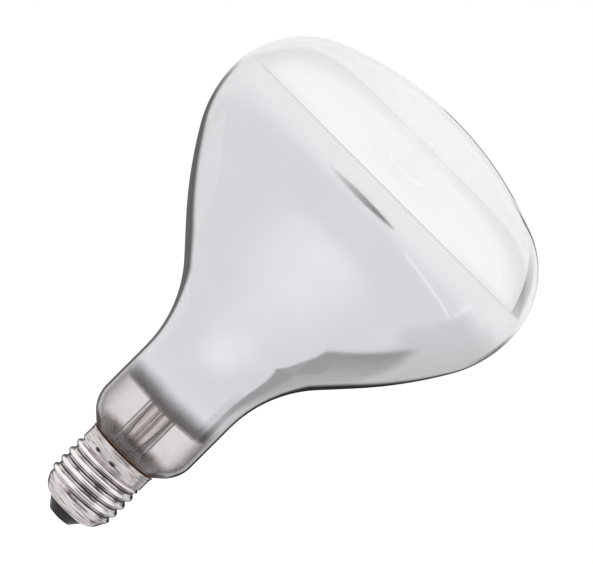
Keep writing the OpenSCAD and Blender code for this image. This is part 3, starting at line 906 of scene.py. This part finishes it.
def makeWeld(settings):
    s = settings
    r, low, high = s["radius"], s["from"], s["to"]
    profile = [(0, low), (r * 0.6, low), (r * 0.9, low + 0.08), (r, low + 0.2),
        (r, high - 0.2), (r * 0.9, high - 0.08), (r * 0.6, high), (0, high)]
    points, faces = lathe(profile, 32)
    points = [(x + s["x"], y, z) for x, y, z in points]
    seatPiece(newPiece("sideWeld", points, faces, metals["tinSolder"]), "solder", "side_weld")


makeCement(cementSettings)
makeWeld(weldSettings)
print("cap made")


# The glass mount in the neck: flare, tube and press in one piece

stemSettings = {
    "tubeRadius": 5.8,
    "wall": 1,
    "flareCentre": (13.8, 35),
    "flareRadius": 8,
    "rim": [(11.7, 26.25), (11.7, 27), (10.75, 27)],
    "rimAngle": 247.6,
    "underAngle": 256.5,
    "pressFrom": 49,
    "pressFlat": 53.5,
    "pressTop": 61.5,
    "hollowTop": 52,
    "pressHalf": (7.3, 2.2),
    "squareness": 2.2,
    "topRound": ((0.12, 0.45), (0.4, 0.12), (0.9, 0)),  # how far in, how far down
    "outerHeights": (42, 49, 49.8, 50.6, 51.4, 52.2, 53, 53.5, 57, 60.6),
    "innerHeights": (52, 51.2, 50.4, 49.6, 49, 42),
    "segments": 96,
}


def makeStem(settings):
    # Rings go up the outside and down the inside, and turn from round to flat
    s = settings
    cx, cz = s["flareCentre"]
    rings = [(r, r, z, 2) for r, z in s["rim"]]

    def flare(radius, start, end):
        return [(cx + radius * ray(start + (end - start) * k / 10)[0],
            cz + radius * ray(start + (end - start) * k / 10)[1]) for k in range(11)]

    def pressed(z, inset):
        share = smoothStep((z - s["pressFrom"]) / (s["pressFlat"] - s["pressFrom"]))
        wide = s["tubeRadius"] + (s["pressHalf"][0] - s["tubeRadius"]) * share - inset
        thick = s["tubeRadius"] + (s["pressHalf"][1] - s["tubeRadius"]) * share - inset
        return wide, thick, z, 2 + s["squareness"] * share

    rings += [(r, r, z, 2) for r, z in flare(s["flareRadius"], s["rimAngle"], 180)]
    rings += [pressed(z, 0) for z in s["outerHeights"]]
    wide, thick = s["pressHalf"]
    rings += [(wide - inset, thick - inset, s["pressTop"] - drop, 2 + s["squareness"])
        for inset, drop in s["topRound"]]
    rings += [(0, 0, s["pressTop"], 2), (0, 0, s["hollowTop"], 2)]
    rings += [pressed(z, s["wall"]) for z in s["innerHeights"]]
    under = flare(s["flareRadius"] + s["wall"], 180, s["underAngle"])
    rings += [(r, r, z, 2) for r, z in under[:-1]]
    points, faces = loft(rings, s["segments"])
    seatPiece(newPiece("glassMount", points, faces, leadGlass), "stem_glass", "stem_tube")


makeStem(stemSettings)


# Exhaust tube, and the rod with its button

tubeSettings = {"radius": 1.6, "bore": 0.9, "tip": 18, "top": 52}
rodSettings = {"radius": 1.75, "from": 61.5, "button": 100.5, "buttonRadius": 3,
    "buttonHalf": 2, "buttonRound": 1}


def makeExhaustTube(settings):
    s = settings
    ball = [(s["radius"] * ray(a)[0], s["tip"] + s["radius"] + s["radius"] * ray(a)[1])
        for a in range(-90, 1, 10)]
    hollow = [(s["bore"] * ray(a)[0], s["tip"] + 2 * s["radius"] + s["bore"] * ray(a)[1])
        for a in range(0, -91, -15)]
    points, faces = lathe([(0, s["tip"])] + ball[1:] + [(s["radius"], s["top"]),
        (s["bore"], s["top"])] + hollow[:-1] + [(0, hollow[-1][1])], 48)
    seatPiece(newPiece("exhaustTube", points, faces, leadGlass), "stem_glass", "exhaust_tube")


def makeRod(settings):
    s = settings
    r, big, half, z = s["radius"], s["buttonRadius"], s["buttonHalf"], s["button"]
    edge = s["buttonRound"]
    under = [(big - edge + edge * ray(a)[0], z - half + edge + edge * ray(a)[1])
        for a in range(-90, 1, 15)]
    over = [(big - edge + edge * ray(a)[0], z + half - edge + edge * ray(a)[1])
        for a in range(0, 91, 15)]
    points, faces = lathe([(0, s["from"]), (r, s["from"]), (r, z - half)]
        + under[1:] + over + [(0, z + half)], 64)
    seatPiece(newPiece("buttonRod", points, faces, leadGlass), "stem_glass", "button_rod")


makeExhaustTube(tubeSettings)
makeRod(rodSettings)


# Wires: dumet through the press, copper below it, nickel above it

wireSettings = {
    "pressX": 4.8,
    "sealRadius": 0.3,
    "copperRadius": 0.25,
    "nickelRadius": 0.45,
    "sealFrom": 51.5,
    "sealTo": 63,
    "bendDrop": 0.4,
    "footX": 3,
    "footHeight": 35,
    "knee": (4.4, 49),
    "gapX": 12.075,
    "underHeight": 25.5,
    "weldFoot": 28.6,
    "tubeTip": 18,
    "boreFrom": 8.95,
    "plateHeight": 0.35,
    "pressTop": 61.5,
}


def makeWires(settings):
    s = settings
    x, r = s["pressX"], s["copperRadius"]
    for side, name, node in ((-1, "sealWireLeft", "seal_wire_left"),
            (1, "sealWireRight", "seal_wire_right")):
        points, faces = lathe([(0, s["sealFrom"]), (s["sealRadius"], s["sealFrom"]),
            (s["sealRadius"], s["sealTo"]), (0, s["sealTo"])], 24)
        points = [(px + side * x, py, pz) for px, py, pz in points]
        seatPiece(newPiece(name, points, faces, metals["borateDumet"]), "dumet_wire", node)

    def fromPress(side):
        return [(side * x, 0, s["sealFrom"]), (side * x, 0, s["sealFrom"] - s["bendDrop"]),
            (side * s["knee"][0], 0, s["knee"][1]), (side * s["footX"], 0, s["footHeight"])]

    centre = fromPress(-1) + [(-s["footX"], 0, s["tubeTip"]), (0, 0, s["boreFrom"]),
        (0, 0, s["plateHeight"])]
    points, faces = sweep(roundedRoute(centre, 0.3, 4), r)
    piece = newPiece("copperLeadCentre", points, faces, metals["drawnCopper"])
    seatPiece(piece, "copper_wire", "outer_lead_centre")
    edge = fromPress(1) + [(s["footX"], 0, s["underHeight"]), (s["gapX"], 0, s["underHeight"]),
        (s["gapX"], 0, s["weldFoot"])]
    points, faces = sweep(roundedRoute(edge, 0.3, 4), r)
    piece = newPiece("copperLeadSide", points, faces, metals["drawnCopper"])
    seatPiece(piece, "copper_wire", "outer_lead_side")


makeWires(wireSettings)


# The coiled wire, which hangs in straight lengths from hook to hook. A tree
# winds it round its path.

coilSettings = {
    "ringRadius": 16,
    "ringHeight": 107.5,
    "startAngle": -60,
    "stepAngle": 50,
    "lengths": 6,
}

windingSettings = {  # in metres, as the tree's inputs
    "Turns": 250,
    "Points Per Turn": 12,
    "Coil Radius": 0.00053,
    "Wire Radius": 0.00007,
}


def windingTree():
    tree, size = newTree("windCoil", windingSettings)
    path = addNode(tree, "GeometryNodeMeshToCurve", {0: size["Geometry"]})
    count = addNode(tree, "ShaderNodeMath", {0: size["Turns"], 1: size["Points Per Turn"]},
        operation="MULTIPLY")
    even = addNode(tree, "GeometryNodeResampleCurve", {"Curve": path, "Count": count})
    index = addNode(tree, "GeometryNodeInputIndex")
    share = addNode(tree, "ShaderNodeMath", {0: index, 1: size["Points Per Turn"]},
        operation="DIVIDE")
    angle = addNode(tree, "ShaderNodeMath", {0: share, 1: 2 * math.pi}, operation="MULTIPLY")
    tangent = addNode(tree, "GeometryNodeInputTangent")
    side = addNode(tree, "ShaderNodeVectorMath", {0: tangent, 1: (0, 0, 1)},
        operation="CROSS_PRODUCT")
    parts = []
    for operation, direction in (("COSINE", (0, 0, 1)), ("SINE", side)):
        wave = addNode(tree, "ShaderNodeMath", {0: angle}, operation=operation)
        length = addNode(tree, "ShaderNodeMath", {0: wave, 1: size["Coil Radius"]},
            operation="MULTIPLY")
        parts.append(addNode(tree, "ShaderNodeVectorMath", {0: direction, "Scale": length},
            operation="SCALE"))
    offset = addNode(tree, "ShaderNodeVectorMath", {0: parts[0], 1: parts[1]},
        operation="ADD")
    wound = addNode(tree, "GeometryNodeSetPosition", {"Geometry": even, "Offset": offset})
    section = addNode(tree, "GeometryNodeCurvePrimitiveCircle", {"Resolution": 6,
        "Radius": size["Wire Radius"]})
    solid = addNode(tree, "GeometryNodeCurveToMesh", {"Curve": wound,
        "Profile Curve": section, "Fill Caps": True})
    closeTree(tree, solid, metals["drawnTungsten"])
    return tree


def makeCoil(settings):
    s = settings
    path = []
    for i in range(s["lengths"] + 1):
        c, v = ray(s["startAngle"] + s["stepAngle"] * i)
        path.append((s["ringRadius"] * c, s["ringRadius"] * v, s["ringHeight"]))
    mesh = bpy.data.meshes.new("coiledWire")
    mesh.from_pydata(metres(path), [(i, i + 1) for i in range(s["lengths"])], [])
    piece = bpy.data.objects.new("coiledWire", mesh)
    scene.collection.objects.link(piece)
    runTree(piece, windingTree(), windingSettings)
    seatPiece(piece, "tungsten_coil", "filament")


makeCoil(coilSettings)


# The hooks stand round the button. One is bent, and a tree repeats it.

hookSettings = {
    "foot": (1.5, 100.5),
    "knee": (12, 105.9),
    "kneeReach": 1,
    "radius": 0.2,
    "loopRadius": 0.943,
    "loopAngles": (-65, 205),
}

hookRingSettings = {
    "Hooks": 5,
    "First Angle": math.radians(-10),
    "Step Angle": math.radians(50),
}


def hookTree():
    tree, size = newTree("standHooks", hookRingSettings)
    spots = addNode(tree, "GeometryNodePoints", {"Count": size["Hooks"]})
    index = addNode(tree, "GeometryNodeInputIndex")
    angle = addNode(tree, "ShaderNodeMath", {0: index, 1: size["Step Angle"],
        2: size["First Angle"]}, operation="MULTIPLY_ADD")
    turn = addNode(tree, "ShaderNodeCombineXYZ", {2: angle})
    hooks = addNode(tree, "GeometryNodeInstanceOnPoints", {"Points": spots,
        "Instance": size["Geometry"], "Rotation": turn})
    closeTree(tree, hooks, metals["drawnMolybdenum"])
    return tree


def hookArc(radius, start, end, step):
    r, z = coilSettings["ringRadius"], coilSettings["ringHeight"]
    return [(r + radius * ray(a)[0], 0, z + radius * ray(a)[1])
        for a in range(start, end + 1, step)]


def makeHooks(settings):
    s = settings
    r, z = coilSettings["ringRadius"], coilSettings["ringHeight"]
    route = roundedRoute([(s["foot"][0], 0, s["foot"][1]), (s["knee"][0], 0, s["knee"][1]),
        (r, 0, z - s["loopRadius"])], s["kneeReach"])
    route += [Vector(p) for p in hookArc(s["loopRadius"], *s["loopAngles"], 15)]
    points, faces = sweep(route, s["radius"], 10)
    piece = newPiece("supportHooks", points, faces, metals["drawnMolybdenum"])
    runTree(piece, hookTree(), hookRingSettings)
    seatPiece(piece, "molybdenum_wire", "support_1", "support_2", "support_3", "support_4",
        "support_5")


makeHooks(hookSettings)


# Nickel leads from the press to the coil's ends

leadSettings = {"hook": 1.212, "reach": 3, "rise": (1, 8), "fall": (10, 1)}


def makeLead(name, nodeName, side, settings):
    hook = settings["hook"]
    z = coilSettings["ringHeight"]
    end = coilSettings["startAngle"] if side > 0 else (
        coilSettings["startAngle"] + coilSettings["stepAngle"] * coilSettings["lengths"])
    stand = coilSettings["ringRadius"] + hook
    x, top = side * wireSettings["pressX"], wireSettings["pressTop"]
    foot = turnedAbout([(stand, 0, z - drop) for drop in settings["fall"]], end)
    rise = [(x, 0, top + height) for height in settings["rise"]]
    route = roundedRoute(rise + foot, settings["reach"])
    route += [Vector(p) for p in turnedAbout(hookArc(hook, 0, 200, 20), end)]
    points, faces = sweep(route, wireSettings["nickelRadius"], 16)
    seatPiece(newPiece(name, points, faces, metals["drawnNickel"]), "nickel_wire", nodeName)


makeLead("nickelLeadLeft", "inner_lead_left", -1, leadSettings)
makeLead("nickelLeadRight", "inner_lead_right", 1, leadSettings)


# The floor, the world and the lights

floorSettings = {
    "height": -120,
    "half": 4000,
    "colour": "#EDEDED",
    "middle": (0, -165),  # what the next values are measured from
    "lift": (0.2, 0.45),  # glow that the camera sees, near and far
    "liftReach": (300, 1200),
    "shown": (1.03, 0.88),  # glow that metal and glass show, near and away
    "shownReach": (0, 240),
    "distant": 0.1,  # and what is added far off
    "distantReach": (500, 3000),
}

worldSettings = {"light": 0.75, "seen": 1.0}

lampAim = (0, 0, 100)
lampSettings = {
    "key": {"place": (-900, -700, 1300), "size": 900, "power": 9},
    "fill": {"place": (1000, -600, 900), "size": 1100, "power": 5},
}

# Grey and bright cards round the lamp, which its mirror shows as edges, streaks
# and gleams. The angle goes from the camera's side towards +X. A card has one
# grey or goes from one to another, and more soft is a harder edge.
cardSettings = {
    "cardLeft": {"from": -176, "to": -139, "radius": 300, "low": -100, "high": 156,
        "grey": 0.15, "soft": 4, "rowSoft": 7},
    "cardRight": {"from": 140, "to": 176, "radius": 300, "low": -100, "high": 156,
        "grey": 0.03, "soft": 4, "rowSoft": 7},
    "cardStreak": {"from": 98, "to": 146, "radius": 165, "low": -147, "high": 34,
        "grey": (0.36, 0.62), "soft": 10, "rowSoft": 8},
    "cardDim": {"from": 72, "to": 150, "radius": 172, "low": -20, "high": 135,
        "grey": (0.8, 0.66), "soft": 8},
    "cardNeck": {"from": 85, "to": 106, "radius": 60, "low": 34, "high": 58,
        "grey": 0.42, "soft": 5},
    "cardGleam": {"from": 30, "to": 87, "radius": 400, "low": 52, "high": 67,
        "grey": 1.13, "slope": -57, "soft": 30},
    "cardGleamUp": {"from": 83.5, "to": 87, "radius": 400, "low": 31, "high": 160,
        "grey": 1.13, "soft": 4},
    "cardCapLeft": {"from": -174, "to": -130, "radius": 70, "low": -36, "high": 16,
        "grey": 0.12, "soft": 4, "rowSoft": 3},
    "cardCapRight": {"from": 130, "to": 174, "radius": 70, "low": -36, "high": 16,
        "grey": 0.12, "soft": 4, "rowSoft": 3},
    "cardCapFront": {"from": -28, "to": 52, "radius": 30, "low": -14, "high": 26,
        "grey": 0.34, "soft": 4, "rowSoft": 4},
    "cardLeftDim": {"from": -142, "to": -112, "radius": 300, "low": -140, "high": 70,
        "grey": (0.9, 0.94), "soft": 10},
    "cardSide": {"from": 108, "to": 167, "radius": 450, "low": -120, "high": 140,
        "grey": (0.92, 0.75)},
    "cardFace": {"from": 158.5, "to": 162.8, "radius": 310, "low": 142, "high": 270,
        "grey": 0.12, "lean": 6},
    "cardTop": {"from": 169, "to": 182, "radius": 320, "low": 215, "high": 250,
        "grey": 0.35},
    "cardFront": {"from": -33, "to": 21, "radius": 1200, "low": 50, "high": 190,
        "grey": (0.8, 0.05), "taper": True},
}


def makeFloor(settings):
    s = settings
    material, tree, place = newMaterial("palePaper")
    path = addNode(tree, "ShaderNodeLightPath")
    middle = addNode(tree, "ShaderNodeVectorMath", {0: place,
        1: metres([s["middle"] + (s["height"],)])[0]}, operation="DISTANCE")
    lifted = addNode(tree, "ShaderNodeMapRange", {"Value": middle.outputs["Value"],
        "From Min": s["liftReach"][0] / 1000, "From Max": s["liftReach"][1] / 1000,
        "To Min": s["lift"][0], "To Max": s["lift"][1]})
    lift = addNode(tree, "ShaderNodeMath", {0: path.outputs["Is Camera Ray"], 1: lifted},
        operation="MULTIPLY")
    paper = addNode(tree, "ShaderNodeBsdfDiffuse", {"Color": linear(s["colour"])})
    glow = addNode(tree, "ShaderNodeEmission", {"Strength": lift})
    both = addNode(tree, "ShaderNodeAddShader", {0: paper, 1: glow})
    # Metal and glass show a white floor, a little darker away from the lamp
    mirrored = addNode(tree, "ShaderNodeMath", {0: path.outputs["Is Glossy Ray"],
        1: path.outputs["Is Transmission Ray"]}, operation="MAXIMUM")
    near = addNode(tree, "ShaderNodeMapRange", {"Value": middle.outputs["Value"],
        "From Min": s["shownReach"][0] / 1000, "From Max": s["shownReach"][1] / 1000,
        "To Min": s["shown"][0], "To Max": s["shown"][1]}, interpolation_type="SMOOTHSTEP")
    distant = addNode(tree, "ShaderNodeMapRange", {"Value": middle.outputs["Value"],
        "From Min": s["distantReach"][0] / 1000, "From Max": s["distantReach"][1] / 1000,
        "To Max": s["distant"]}, interpolation_type="SMOOTHSTEP")
    glowing = addNode(tree, "ShaderNodeMath", {0: near, 1: distant}, operation="ADD")
    white = addNode(tree, "ShaderNodeEmission", {"Strength": glowing})
    shown = addNode(tree, "ShaderNodeMixShader", {0: mirrored, 1: both, 2: white})
    clear = addNode(tree, "ShaderNodeBsdfTransparent")
    under = addNode(tree, "ShaderNodeNewGeometry").outputs["Backfacing"]
    shader = addNode(tree, "ShaderNodeMixShader", {0: under, 1: shown, 2: clear})
    finishMaterial(tree, shader)
    h, z = s["half"], s["height"]
    corners = [(-h, -h, z), (h, -h, z), (h, h, z), (-h, h, z)]
    newPiece("floor", corners, [[0, 1, 2, 3]], material)


def makeWorld(settings):
    world = bpy.data.worlds.new("studio")
    scene.world = world
    world.use_nodes = True
    tree = world.node_tree
    tree.nodes.clear()
    path = addNode(tree, "ShaderNodeLightPath")
    seen = addNode(tree, "ShaderNodeMath", {0: path.outputs["Is Camera Ray"],
        1: path.outputs["Is Glossy Ray"]}, operation="MAXIMUM")
    seenThrough = addNode(tree, "ShaderNodeMath", {0: seen,
        1: path.outputs["Is Transmission Ray"]}, operation="MAXIMUM")
    strength = addNode(tree, "ShaderNodeMapRange", {"Value": seenThrough,
        "To Min": settings["light"], "To Max": settings["seen"]})
    light = addNode(tree, "ShaderNodeBackground", {"Strength": strength})
    light.inputs["Color"].default_value = (1, 1, 1, 1)
    addNode(tree, "ShaderNodeOutputWorld", {"Surface": light})


def makeLamp(name, settings):
    data = bpy.data.lights.new(name, "AREA")
    data.shape, data.size, data.energy = "DISK", settings["size"] / 1000, settings["power"]
    lamp = bpy.data.objects.new(name, data)
    scene.collection.objects.link(lamp)
    lamp.location = Vector(settings["place"]) / 1000
    towards = Vector(lampAim) / 1000 - lamp.location
    lamp.rotation_mode = "QUATERNION"
    lamp.rotation_quaternion = towards.to_track_quat("-Z", "Y")
    lamp.visible_glossy = lamp.visible_transmission = False


def makeCard(name, settings):
    # A curved grid that fades out at its edges
    s = settings
    first, last = s["grey"] if isinstance(s["grey"], tuple) else (s["grey"], s["grey"])
    material, tree, place = newMaterial(name)
    shade = addNode(tree, "ShaderNodeAttribute", attribute_name="shade")
    cover = addNode(tree, "ShaderNodeAttribute", attribute_name="cover")
    grey = addNode(tree, "ShaderNodeEmission", {"Strength": shade.outputs["Fac"]})
    clear = addNode(tree, "ShaderNodeBsdfTransparent")
    finishMaterial(tree, addNode(tree, "ShaderNodeMixShader", {0: cover.outputs["Fac"],
        1: clear, 2: grey}))
    points, faces, shades, covers, columns, rows = [], [], [], [], 36, 10
    for k in range(columns + 1):
        t = k / columns
        c, v = ray(s["from"] + (s["to"] - s["from"]) * t)
        sideFade = smoothStep(min(t, 1 - t) * s.get("soft", 14))
        dark = first + (last - first) * t
        middle = (s["low"] + s["high"]) / 2 + s.get("slope", 0) * (t - 0.5)
        half = (s["high"] - s["low"]) / 2
        half *= math.sin(math.pi * (k + 0.2) / (columns + 0.4)) if s.get("taper") else 1
        for r in range(rows + 1):
            rowFade = smoothStep(min(r, rows - r) / rows * s.get("rowSoft", 5))
            points += turnedAbout([(s["radius"] * v, -s["radius"] * c,
                middle - half + 2 * half * r / rows)], s.get("lean", 0) * r / rows)
            shades.append(dark)
            covers.append(sideFade * rowFade)
    for k in range(columns):
        for r in range(rows):
            a = k * (rows + 1) + r
            faces.append([a, a + 1, a + rows + 2, a + rows + 1])
    card = newPiece(name, points, faces, material)
    for attribute, values in (("shade", shades), ("cover", covers)):
        card.data.attributes.new(attribute, "FLOAT", "POINT").data.foreach_set("value", values)
    card.visible_camera = card.visible_diffuse = card.visible_shadow = False


makeFloor(floorSettings)
makeWorld(worldSettings)
for name, settings in lampSettings.items():
    makeLamp(name, settings)
for name, settings in cardSettings.items():
    makeCard(name, settings)
scene.view_settings.view_transform = "Standard"
print("stage made")
